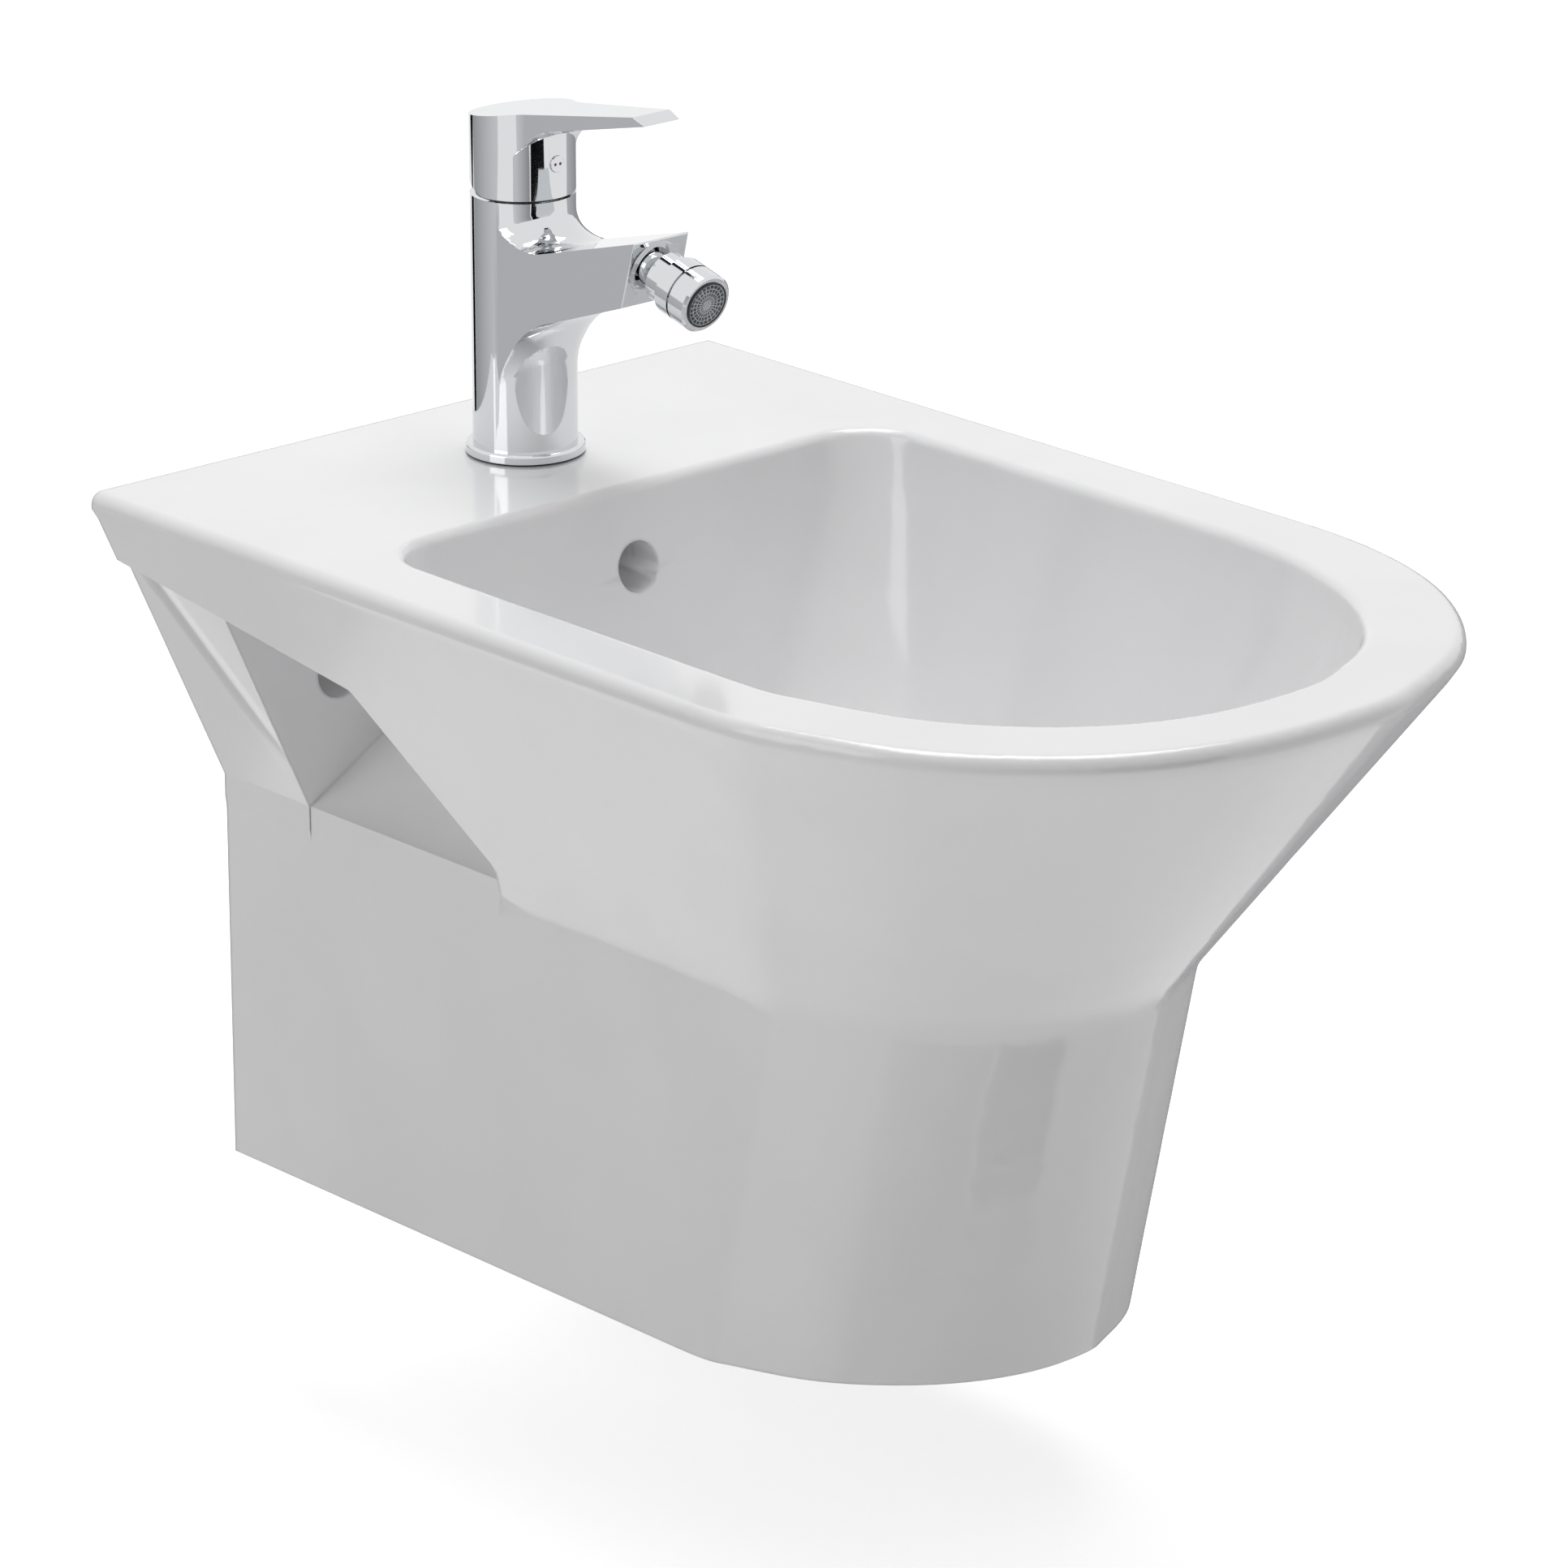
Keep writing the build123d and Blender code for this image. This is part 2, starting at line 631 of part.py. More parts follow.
foot_height = pivot_height - foot_arm
shank_bottom = carrier_top + 1.9
with BuildPart() as spindle:
    with Locations(tap_floor.offset(foot_height)):
        Sphere(foot_radius)
    with BuildSketch(tap_floor.offset(foot_height)):
        Circle(foot_radius - 0.7)
    extrude(amount=shank_bottom - foot_height)
    with BuildSketch(tap_floor.offset(shank_bottom)):
        Rectangle(spindle_shank, spindle_shank)
    extrude(amount=pivot_height + 3 - shank_bottom)
    with BuildSketch(tap_floor.offset(pivot_height + 3)):
        Rectangle(spindle_width, spindle_width)
    extrude(amount=spindle_top - pivot_height - 3)
    with BuildSketch(tap_side.offset(-spindle_width)):
        with Locations((0, pivot_height)):
            Circle(pivot_pin_radius + shaft_gap)
    extrude(amount=2 * spindle_width, mode=Mode.SUBTRACT)

# Lever: a round cap that runs out into a flat tapering arm, arched underneath
lever_bottom = body_top + lever_gap
lever_tip_z = lever_top_height + lever_top_rise * lever_length
lever_nose_z = lever_top_height + lever_top_rise * lever_end_length - lever_end_drop
lever_taper = (lever_root_half_width - lever_end_half_width) / (lever_length - lever_root_forward)
lever_inner_half_width = lever_root_half_width + lever_taper * lever_root_forward
lever_outer_half_width = lever_end_half_width - lever_taper * (lever_end_length - lever_length)
wedge_rise = tap_radius * tan(radians(lever_wedge))
boss_radius = spindle_width / 2 + 4.0
cap_roof = indicator_height - grub_radius - 3.5
with BuildPart() as lever_handle:
    with BuildSketch(tap_floor.offset(lever_bottom)) as lever_plan:
        Circle(tap_radius)
        with BuildLine():
            Polyline((lever_inner_half_width, 0), (lever_outer_half_width, -lever_end_length),
                     (-lever_outer_half_width, -lever_end_length), (-lever_inner_half_width, 0), close=True)
        make_face()
        fillet(lever_plan.vertices().sort_by(Axis.Y)[2:4], lever_blend_radius)
    extrude(amount=80)
    with BuildSketch(tap_side):
        with BuildLine():
            Polyline((-lever_arch_start, lever_arch_height), (-lever_arch_start, lever_bottom),
                     (0, lever_bottom), (tap_radius, lever_bottom + wedge_rise),
                     (tap_radius, lever_top_height - lever_top_rise * tap_radius),
                     (-lever_length, lever_tip_z),
                     (-lever_end_length, lever_nose_z), (-lever_under_start, lever_under_height))
            RadiusArc((-lever_under_start, lever_under_height), (-lever_arch_start, lever_arch_height),
                      lever_arch_radius)
        make_face()
    extrude(amount=2 * tap_radius, both=True, mode=Mode.INTERSECT)
    # The round front goes on up behind the arch to the arm's underside
    with BuildSketch(tap_floor.offset(lever_bottom)):
        Circle(tap_radius)
        with Locations((0, tap_radius)):
            Rectangle(2 * tap_radius, 2 * tap_radius, mode=Mode.SUBTRACT)
    extrude(amount=lever_under_height - lever_bottom)
    with BuildSketch(tap_floor.offset(lever_bottom)):
        Circle(tap_radius - 4.5)
        Circle(boss_radius, mode=Mode.SUBTRACT)
    extrude(amount=cap_roof - lever_bottom, mode=Mode.SUBTRACT)
    with BuildSketch(tap_floor.offset(lever_bottom)):
        Circle(boss_radius + 1)
    extrude(amount=3, mode=Mode.SUBTRACT)
    with BuildSketch(tap_floor.offset(lever_bottom)):
        Rectangle(spindle_width + 2 * shaft_gap, spindle_width + 2 * shaft_gap)
    extrude(amount=spindle_top - lever_bottom + shaft_gap, mode=Mode.SUBTRACT)
    with BuildSketch(Plane((0, -tap_depth, rim_z + indicator_height), x_dir=(1, 0, 0), z_dir=(0, -1, 0))):
        Circle(grub_radius + thread_gap)
    extrude(amount=tap_radius + 1, mode=Mode.SUBTRACT)
    with BuildSketch(Plane((0, -tap_depth - tap_radius + indicator_depth, rim_z + indicator_height),
                           x_dir=(1, 0, 0), z_dir=(0, -1, 0))):
        Circle(indicator_radius + shaft_gap)
    extrude(amount=indicator_depth + 1, mode=Mode.SUBTRACT)

grub_length = tap_radius - indicator_depth - spindle_width / 2 - 3.0
with BuildPart() as grub_screw:
    with BuildSketch(Plane((0, -tap_depth - spindle_width / 2, rim_z + indicator_height),
                           x_dir=(1, 0, 0), z_dir=(0, -1, 0))):
        Circle(grub_radius)
    extrude(amount=grub_length)
    with BuildSketch(Plane((0, -tap_depth - spindle_width / 2 - grub_length, rim_z + indicator_height),
                           x_dir=(1, 0, 0), z_dir=(0, -1, 0))):
        RegularPolygon(1.25, 6, major_radius=False)
    extrude(amount=-2.5, mode=Mode.SUBTRACT)

indicator_front = Plane((0, -tap_depth - tap_radius - indicator_proud, rim_z + indicator_height),
                        x_dir=(1, 0, 0), z_dir=(0, -1, 0))
mark_places = [(-mark_spread, 0), (mark_spread, 0)]
with BuildPart() as indicator_cap:
    with BuildSketch(indicator_front):
        Circle(indicator_radius)
    extrude(amount=-indicator_depth - indicator_proud)
    chamfer(indicator_cap.edges().sort_by(Axis.Y)[0], indicator_proud / 2)
    with BuildSketch(indicator_front):
        with Locations(*mark_places):
            Circle(mark_radius + shaft_gap)
    extrude(amount=-mark_depth, mode=Mode.SUBTRACT)

marks = {}
for mark_name, mark_place in zip(("hot_mark", "cold_mark"), mark_places):
    with BuildPart() as mark:
        with BuildSketch(indicator_front.offset(-mark_depth)):
            with Locations(mark_place):
                Circle(mark_radius)
        extrude(amount=mark_depth)
    marks[mark_name] = mark

# Swivel aerator: a ball on a threaded nipple, a seat ring, a socket and the nozzle
with BuildPart() as ball_nipple:
    with BuildSketch(plate_plane.offset(-nipple_length)):
        Circle(nipple_radius)
    extrude(amount=nipple_length)
    with BuildSketch(plate_plane):
        Circle(nipple_flange_radius)
    extrude(amount=nipple_flange)
    with BuildSketch(plate_plane):
        Circle(neck_radius)
    extrude(amount=ball_offset)
    with Locations(plate_plane.offset(ball_offset)):
        Sphere(ball_radius)
    with BuildSketch(plate_plane.offset(-nipple_length)):
        Circle(2.8)
    extrude(amount=nipple_length + ball_offset + ball_radius + 1, mode=Mode.SUBTRACT)


def ball_point(radius, angle):
    """A point around the ball's centre, the angle taken from the outlet axis."""
    return (radius * sin(radians(angle)), ball_offset + radius * cos(radians(angle)))


seat_inner = ball_radius + ball_gap
seat_outer = seat_inner + seat_wall
socket_cavity = seat_outer + ball_gap
seat_first = 35.0
seat_last = 70.0
seat_middle = (seat_first + seat_last) / 2
with BuildPart() as swivel_seat:
    with BuildSketch(plate_section):
        with BuildLine():
            ThreePointArc(ball_point(seat_inner, seat_first), ball_point(seat_inner, seat_middle),
                          ball_point(seat_inner, seat_last))
            Line(ball_point(seat_inner, seat_last), ball_point(seat_outer, seat_last))
            ThreePointArc(ball_point(seat_outer, seat_last), ball_point(seat_outer, seat_middle),
                          ball_point(seat_outer, seat_first))
            Line(ball_point(seat_outer, seat_first), ball_point(seat_inner, seat_first))
        make_face()
    revolve(axis=plate_axis)

washer_start = ball_offset + socket_cavity + 1.3
washer_end = washer_start + 1.0
nozzle_start = sleeve_end + sleeve_groove
nozzle_end = nozzle_start + nozzle_length
nozzle_neck = insert_radius + 0.6
with BuildPart() as swivel_socket:
    with BuildSketch(plate_section):
        with BuildLine():
            Polyline((0, socket_start), (socket_radius - 1.5, socket_start),
                     (socket_radius, socket_start + 1.5),
                     (socket_radius, socket_line), (socket_radius - 0.5, socket_line),
                     (socket_radius - 0.5, socket_line + collar_line),
                     (sleeve_radius, socket_line + collar_line),
                     (sleeve_radius, sleeve_end), (0, sleeve_end), close=True)
        make_face()
    revolve(axis=plate_axis)
    with Locations(plate_plane.offset(ball_offset)):
        Sphere(seat_inner, mode=Mode.SUBTRACT)
    with BuildSketch(plate_section):
        with BuildLine():
            Line((0, ball_offset), (socket_cavity, ball_offset))
            ThreePointArc((socket_cavity, ball_offset), ball_point(socket_cavity, 45),
                          ball_point(socket_cavity, 0))
            Line(ball_point(socket_cavity, 0), (0, ball_offset))
        make_face()
    revolve(axis=plate_axis, mode=Mode.SUBTRACT)
    with BuildSketch(plate_plane.offset(ball_offset)):
        Circle(5.0)
    extrude(amount=sleeve_end, mode=Mode.SUBTRACT)
    with BuildSketch(plate_plane.offset(washer_start)):
        Circle(nozzle_neck + thread_gap)
    extrude(amount=sleeve_end, mode=Mode.SUBTRACT)

with BuildPart() as aerator_washer:
    with BuildSketch(plate_plane.offset(washer_start)):
        Circle(nozzle_neck - 0.2)
        Circle(5.5, mode=Mode.SUBTRACT)
    extrude(amount=washer_end - washer_start)

with BuildPart() as aerator_shell:
    with BuildSketch(plate_section):
        with BuildLine():
            Polyline((insert_radius - 1.4, washer_end), (nozzle_neck, washer_end),
                     (nozzle_neck, nozzle_start),
                     (nozzle_radius, nozzle_start), (nozzle_radius, nozzle_end - 1.0),
                     (nozzle_radius - 1.0, nozzle_end), (insert_radius + shaft_gap, nozzle_end),
                     (insert_radius + shaft_gap, sleeve_end), (insert_radius - 1.4, sleeve_end), close=True)
        make_face()
    revolve(axis=plate_axis)

face_end = nozzle_end + insert_face
grid_start = face_end - 1.4
with BuildPart() as aerator_insert:
    with BuildSketch(plate_section):
        with BuildLine():
            Polyline((6.5, sleeve_end), (insert_radius, sleeve_end), (insert_radius, face_end),
                     (grid_radius + shaft_gap, face_end), (grid_radius + shaft_gap, grid_start),
                     (grid_radius - 1.2, grid_start), (grid_radius - 1.2, sleeve_end + 2.0),
                     (6.5, sleeve_end + 2.0), close=True)
        make_face()
    revolve(axis=plate_axis)

grid_step = (grid_radius - grid_bar) / grid_rings
with BuildPart() as aerator_grid:
    with BuildSketch(plate_plane.offset(grid_start)):
        for ring in range(grid_rings):
            Circle(grid_radius - ring * grid_step)
            Circle(grid_radius - ring * grid_step - grid_bar, mode=Mode.SUBTRACT)
        with PolarLocations(0, grid_spokes, angular_range=180):
            Rectangle(2 * grid_radius - grid_bar, grid_bar)
        Circle(1.0)
    extrude(amount=1.2)

# Fixing under the deck
stud_place = (0, stud_back)
gasket_bottom = -deck_thickness - clamp_gasket_height
clamp_bottom = gasket_bottom - clamp_height


def horseshoe():
    """Round plate with a hole for the stud and a slot, open to the front, for the two hoses."""
    with BuildSketch(mode=Mode.PRIVATE) as plate:
        Circle(clamp_radius)
        with Locations((0, clamp_slot_back - clamp_radius)):
            Rectangle(2 * clamp_slot_half_width, 2 * clamp_radius, mode=Mode.SUBTRACT)
        with Locations(stud_place):
            Circle(stud_radius + sliding_gap, mode=Mode.SUBTRACT)
    return plate.sketch


with BuildPart() as fixing_stud:
    with BuildSketch(tap_floor.offset(ring_top + stud_engagement)):
        with Locations(stud_place):
            Circle(stud_radius)
    extrude(amount=-stud_length)

with BuildPart() as horseshoe_gasket:
    with BuildSketch(tap_floor.offset(gasket_bottom)):
        add(horseshoe())
    extrude(amount=clamp_gasket_height)

with BuildPart() as horseshoe_clamp:
    with BuildSketch(tap_floor.offset(clamp_bottom)):
        add(horseshoe())
    extrude(amount=clamp_height)

with BuildPart() as stud_nut:
    with BuildSketch(tap_floor.offset(clamp_bottom - stud_nut_height)):
        with Locations(stud_place):
            RegularPolygon(stud_nut_width / 2, 6, major_radius=False)
            Circle(stud_radius + thread_gap, mode=Mode.SUBTRACT)
    extrude(amount=stud_nut_height)

# Waste: flanged tail clamped through the bowl's floor by a nut, and a sprung push plug
flange_top = flange_seal_height + flange_height
hub_top = flange_top - hub_drop
duct_height = -duct_outlet_drop
with BuildPart() as waste_tail:
    with BuildSketch(waste_floor.offset(flange_seal_height)):
        Circle(flange_radius)
    extrude(amount=flange_height)
    top_edge = waste_tail.edges().sort_by(Axis.Z)[-1]
    fillet(top_edge, 1.2)
    with BuildSketch(waste_floor.offset(flange_seal_height - tail_length)):
        Circle(tail_radius)
    extrude(amount=tail_length)
    with BuildSketch(waste_floor.offset(flange_seal_height - tail_length)):
        Circle(tail_bore_radius)
    extrude(amount=tail_length + flange_height, mode=Mode.SUBTRACT)
    # The relief where the trap's union ends
    with BuildSketch(waste_floor.offset(flange_seal_height - tail_length + tail_joint_length)):
        Circle(tail_radius + 1)
        Circle(tail_radius - tail_relief_depth, mode=Mode.SUBTRACT)
    extrude(amount=tail_relief_height, mode=Mode.SUBTRACT)
    with BuildSketch(waste_floor.offset(hub_top - hub_height)):
        Circle(hub_radius)
        with PolarLocations(0, 2, angular_range=180):
            Rectangle(2 * tail_bore_radius + 1, spoke_width)
        Circle(stem_radius + shaft_gap, mode=Mode.SUBTRACT)
    extrude(amount=hub_height)
    for turn in (0, 90):
        slot_plane = Plane((0, -waste_depth, waste_seat_z + duct_height),
                           x_dir=(cos(radians(turn)), sin(radians(turn)), 0),
                           z_dir=(-sin(radians(turn)), cos(radians(turn)), 0))
        with BuildSketch(slot_plane.offset(tail_bore_radius - 1)):
            Rectangle(slot_width, slot_height)
        extrude(amount=tail_radius, mode=Mode.SUBTRACT)
        with BuildSketch(slot_plane.offset(-tail_bore_radius + 1)):
            Rectangle(slot_width, slot_height)
        extrude(amount=-tail_radius, mode=Mode.SUBTRACT)

with BuildPart() as flange_seal:
    with BuildSketch(waste_floor):
        Circle(flange_radius - 1.5)
        Circle(waste_hole_radius + 1, mode=Mode.SUBTRACT)
    extrude(amount=flange_seal_height)

with BuildPart() as tail_seal:
    with BuildSketch(waste_floor.offset(-waste_boss_height - lower_seal_height)):
        Circle(lower_seal_radius)
        Circle(tail_radius + thread_gap, mode=Mode.SUBTRACT)
    extrude(amount=lower_seal_height)

with BuildPart() as lock_nut:
    with BuildSketch(waste_floor.offset(-waste_boss_height - lower_seal_height - lock_nut_height)):
        RegularPolygon(lock_nut_width / 2, 6, major_radius=False)
        Circle(tail_radius + thread_gap, mode=Mode.SUBTRACT)
    extrude(amount=lock_nut_height)

plug_bottom = flange_top + plug_travel + sliding_gap
plug_seal_bottom = plug_bottom - plug_seal_height
stem_bottom = hub_top - hub_height - plug_travel
with BuildPart() as waste_plug:
    with BuildSketch(waste_floor.offset(plug_bottom)):
        Circle(plug_radius)
    extrude(amount=plug_height)
    fillet(waste_plug.edges().sort_by(Axis.Z)[-1], 2.5)
    with BuildSketch(waste_floor.offset(stem_bottom)):
        Circle(stem_radius)
    extrude(amount=plug_bottom - stem_bottom)

with BuildPart() as plug_seal:
    with BuildSketch(waste_floor.offset(plug_seal_bottom)):
        Circle(tail_bore_radius - 2 * sliding_gap)
        Circle(stem_radius + shaft_gap, mode=Mode.SUBTRACT)
    extrude(amount=plug_seal_height)

with BuildPart() as stem_nut:
    with BuildSketch(waste_floor.offset(hub_top - hub_height - sliding_gap - stem_nut_height)):
        Circle(stem_nut_radius)
        Circle(stem_radius + thread_gap, mode=Mode.SUBTRACT)
    extrude(amount=stem_nut_height)

with BuildPart() as plug_spring:
    with BuildSketch(waste_floor.offset(hub_top)):
        Circle(spring_radius)
        Circle(spring_radius - spring_wire, mode=Mode.SUBTRACT)
    extrude(amount=plug_seal_bottom - hub_top)


def save(piece, name):
    """Label one finished piece and write it under its name."""
    piece.part.label = name
    export_step(piece.part, f"parts/{name}.step")


os.makedirs("parts", exist_ok=True)
save(ceramic_body, "ceramic_body")
save(base_seal, "base_seal")
save(base_ring, "base_ring")
save(tap_body, "tap_body")
save(collar_ring, "collar_ring")
for seal_name, port_seal in port_seals.items():
    save(port_seal, seal_name)
save(cartridge_housing, "cartridge_housing")
save(fixed_disc, "fixed_disc")
save(moving_disc, "moving_disc")
save(disc_carrier, "disc_carrier")
save(rotor, "rotor")
save(pivot_pin, "pivot_pin")
save(cartridge_nut, "cartridge_nut")
save(spindle, "spindle")
save(lever_handle, "lever_handle")
save(grub_screw, "grub_screw")
save(indicator_cap, "indicator_cap")
for mark_name, mark in marks.items():
    save(mark, mark_name)
save(ball_nipple, "ball_nipple")
save(swivel_seat, "swivel_seat")
save(swivel_socket, "swivel_socket")
save(aerator_washer, "aerator_washer")
save(aerator_shell, "aerator_shell")
save(aerator_insert, "aerator_insert")
save(aerator_grid, "aerator_grid")
save(fixing_stud, "fixing_stud")
save(horseshoe_gasket, "horseshoe_gasket")
save(horseshoe_clamp, "horseshoe_clamp")
save(stud_nut, "stud_nut")
save(waste_tail, "waste_tail")
save(flange_seal, "flange_seal")
save(tail_seal, "tail_seal")
save(lock_nut, "lock_nut")
save(waste_plug, "waste_plug")
save(plug_seal, "plug_seal")
save(stem_nut, "stem_nut")
save(plug_spring, "plug_spring")
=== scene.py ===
"""Studio scene of a wall hung bidet with a single lever tap: camera, finishes, thread, spring and light.

Lengths are in metres in the model's own frame: X is to the right facing the wall, the wall is the
plane Y = 0, the front is towards -Y and +Z is up from the wall studs.
"""
import json

import bpy
import numpy as np
from mathutils import Matrix, Vector


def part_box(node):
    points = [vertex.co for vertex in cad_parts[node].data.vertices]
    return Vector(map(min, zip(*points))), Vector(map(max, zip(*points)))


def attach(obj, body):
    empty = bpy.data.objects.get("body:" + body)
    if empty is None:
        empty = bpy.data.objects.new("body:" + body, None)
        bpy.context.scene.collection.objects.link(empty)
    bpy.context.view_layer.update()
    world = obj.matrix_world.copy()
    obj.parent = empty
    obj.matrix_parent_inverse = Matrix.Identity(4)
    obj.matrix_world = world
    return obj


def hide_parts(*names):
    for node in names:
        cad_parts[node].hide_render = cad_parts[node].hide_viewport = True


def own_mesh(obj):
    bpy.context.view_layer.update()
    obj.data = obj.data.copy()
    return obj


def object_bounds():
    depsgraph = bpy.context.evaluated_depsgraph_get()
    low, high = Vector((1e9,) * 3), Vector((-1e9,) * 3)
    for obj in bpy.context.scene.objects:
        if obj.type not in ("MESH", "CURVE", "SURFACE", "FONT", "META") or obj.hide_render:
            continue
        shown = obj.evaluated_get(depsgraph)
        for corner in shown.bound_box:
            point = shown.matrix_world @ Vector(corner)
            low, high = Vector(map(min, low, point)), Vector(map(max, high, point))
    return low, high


MM = 0.001

eye = Vector((-2027.9, -2476.0, 1030.9)) * MM
looking = Vector((0.63395, 0.69934, -0.33019))
lens_mm = 176.55
sensor_mm = 36.0

weld_gap = 0.002 * MM
flat_bend = np.radians(0.2)
sharp_bend = np.radians(28.0)
edge_rounds = {"lever_handle": 0.5 * MM, "base_ring": 0.3 * MM}

bare_back_from = -0.8 * MM
bare_back_to = -0.2 * MM
glaze_edge_round = 3.0 * MM
ring_spacing = 0.9896 * MM

thread_pitch = 1.25 * MM
thread_depth = 0.65 * MM
steps_per_pitch = 12
rod_sides = 24
spring_wire = 1.6 * MM
spring_turns = 7.5
steps_per_turn = 28
wire_sides = 10
spring_end_rise = 0.12

floor_drop = 85 * MM
floor_reach = 6.0
floor_lift = 0.62
card_reach = 2.2
card_low, card_high = -1.9, 0.2
card_columns = 12
fill_light = 0.33

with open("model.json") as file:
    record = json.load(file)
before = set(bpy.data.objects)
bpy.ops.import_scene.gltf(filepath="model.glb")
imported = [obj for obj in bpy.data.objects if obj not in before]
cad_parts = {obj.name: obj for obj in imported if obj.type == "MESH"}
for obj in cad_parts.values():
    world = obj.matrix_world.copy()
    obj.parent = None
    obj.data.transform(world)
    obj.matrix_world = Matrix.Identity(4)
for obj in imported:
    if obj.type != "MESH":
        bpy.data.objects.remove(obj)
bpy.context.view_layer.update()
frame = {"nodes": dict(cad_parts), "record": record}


def make_camera():
    """The photograph's view: a long lens from the front left, a little above the rim."""
    data = bpy.data.cameras.new("photo_camera")
    data.lens = lens_mm
    data.sensor_width = sensor_mm
    camera = bpy.data.objects.new("photo_camera", data)
    turn = looking.to_track_quat("-Z", "Y").to_matrix().to_4x4()
    camera.matrix_world = Matrix.Translation(eye) @ turn
    bpy.context.collection.objects.link(camera)
    bpy.context.scene.camera = camera


make_camera()
bpy.context.scene.view_settings.view_transform = "Standard"


def colour(text):
    """An sRGB hex colour as linear red, green, blue and alpha."""
    parts = [int(text[i:i + 2], 16) / 255 for i in (1, 3, 5)]
    return [c / 12.92 if c <= 0.04045 else ((c + 0.055) / 1.055) ** 2.4 for c in parts] + [1.0]


def put(tree, kind, inputs=(), stops=(), **settings):
    """Add a node, set its properties and its colour ramp's two stops, then set or link its inputs.

    Stops are (position, hex) pairs and inputs are (socket, value) pairs. A value may be one of
    another node's outputs, or that node itself, which means its first output.
    """
    item = tree.nodes.new("ShaderNode" + kind)
    for name, value in settings.items():
        setattr(item, name, value)
    for number, (position, text) in enumerate(stops):
        item.color_ramp.elements[number].position = position
        item.color_ramp.elements[number].color = colour(text)
    for socket, value in inputs:
        if isinstance(value, bpy.types.Node):
            value = value.outputs[0]
        if isinstance(value, bpy.types.NodeSocket):
            tree.links.new(value, item.inputs[socket])
        else:
            item.inputs[socket].default_value = value
    return item


def lumps(size_mm):
    """The scale of a noise whose lumps are about size_mm across."""
    return 1 / (size_mm * MM)


def new_material(name):
    """An empty material, its node tree and the piece's own coordinates."""
    material = bpy.data.materials.new(name)
    material.use_nodes = True
    tree = material.node_tree
    tree.nodes.clear()
    place = put(tree, "TexCoord").outputs["Object"]
    return material, tree, place


def close_material(material, tree, surface):
    """Join the finished surface shader to the output."""
    put(tree, "OutputMaterial", [("Surface", surface)])
    return material


def glazed_vitreous_china():
    """Slip cast vitreous china, spray glazed and fired."""
    # The glaze is a thick clear glossy coat: soft bright reflections over a white body, faintly
    # wavy where it pooled, full over every edge, and left off on the back, which lies on the wall
    material, tree, place = new_material("glazed_vitreous_china")
    cloud = put(tree, "TexNoise", [("Vector", place), ("Scale", lumps(60)), ("Detail", 2.0)])
    body = put(tree, "ValToRGB", [("Fac", cloud)], [(0.35, "#F1F1F2"), (0.65, "#F4F4F5")])
    depth = put(tree, "SeparateXYZ", [("Vector", place)]).outputs["Y"]
    bare = put(tree, "MapRange", [("Value", depth), ("From Min", bare_back_from), ("From Max", bare_back_to)])
    shade = put(tree, "Mix", [("Factor", bare), (6, body), (7, colour("#E4DFD4"))], data_type="RGBA")
    rough = put(tree, "Mix", [("Factor", bare), (2, 0.16), (3, 0.85)])
    soft_edge = put(tree, "Bevel", [("Radius", glaze_edge_round)], samples=6)
    wave = put(tree, "TexNoise", [("Vector", place), ("Scale", lumps(26)), ("Detail", 1.0)])
    ripple = put(tree, "Bump", [("Height", wave), ("Strength", 0.10), ("Distance", 0.4 * MM),
                                ("Normal", soft_edge)])
    surface = put(tree, "BsdfPrincipled", [
        ("Base Color", shade.outputs[2]), ("Roughness", rough), ("IOR", 1.52), ("Normal", ripple),
        ("Coat Weight", 0.5), ("Coat Roughness", 0.07), ("Coat IOR", 1.5),
    ])
    return close_material(material, tree, surface)


def polished_chrome():
    """Bright chrome plated on polished brass."""
    # A near mirror: reflections stay crisp, with a breath of haze that changes over a few
    # centimetres where the casting was buffed
    material, tree, place = new_material("polished_chrome_plate")
    cloud = put(tree, "TexNoise", [("Vector", place), ("Scale", lumps(18)), ("Detail", 2.0)])
    haze = put(tree, "MapRange", [("Value", cloud), ("To Min", 0.03), ("To Max", 0.07)])
    wave = put(tree, "TexNoise", [("Vector", place), ("Scale", lumps(9)), ("Detail", 1.0)])
    buffed = put(tree, "Bump", [("Height", wave), ("Strength", 0.04), ("Distance", 0.1 * MM)])
    surface = put(tree, "BsdfPrincipled", [
        ("Base Color", colour("#D9DBDD")), ("Metallic", 1.0), ("Roughness", haze), ("Normal", buffed),
    ])
    return close_material(material, tree, surface)


def turned_brass():
    """Raw brass, turned on a lathe."""
    # Fine rings from the tool and a dull golden tarnish in patches. The rings are drawn about
    # 1 mm apart, which is coarser than the real feed, so that they show
    material, tree, place = new_material("turned_brass")
    tarnish = put(tree, "TexNoise", [("Vector", place), ("Scale", lumps(7)), ("Detail", 4.0)])
    rings = np.pi / 10 / ring_spacing
    tool = put(tree, "TexWave", [("Vector", place), ("Scale", rings), ("Distortion", 0.4)],
               bands_direction="Z")
    cut = put(tree, "Bump", [("Height", tool.outputs["Fac"]), ("Strength", 0.15), ("Distance", 0.03 * MM)])
    surface = put(tree, "BsdfPrincipled", [
        ("Base Color", put(tree, "ValToRGB", [("Fac", tarnish)], [(0.35, "#C2A15C"), (0.7, "#9C7F44")])),
        ("Roughness", put(tree, "MapRange", [("Value", tarnish), ("To Min", 0.24), ("To Max", 0.42)])),
        ("Metallic", 1.0), ("Normal", cut),
    ])
    return close_material(material, tree, surface)


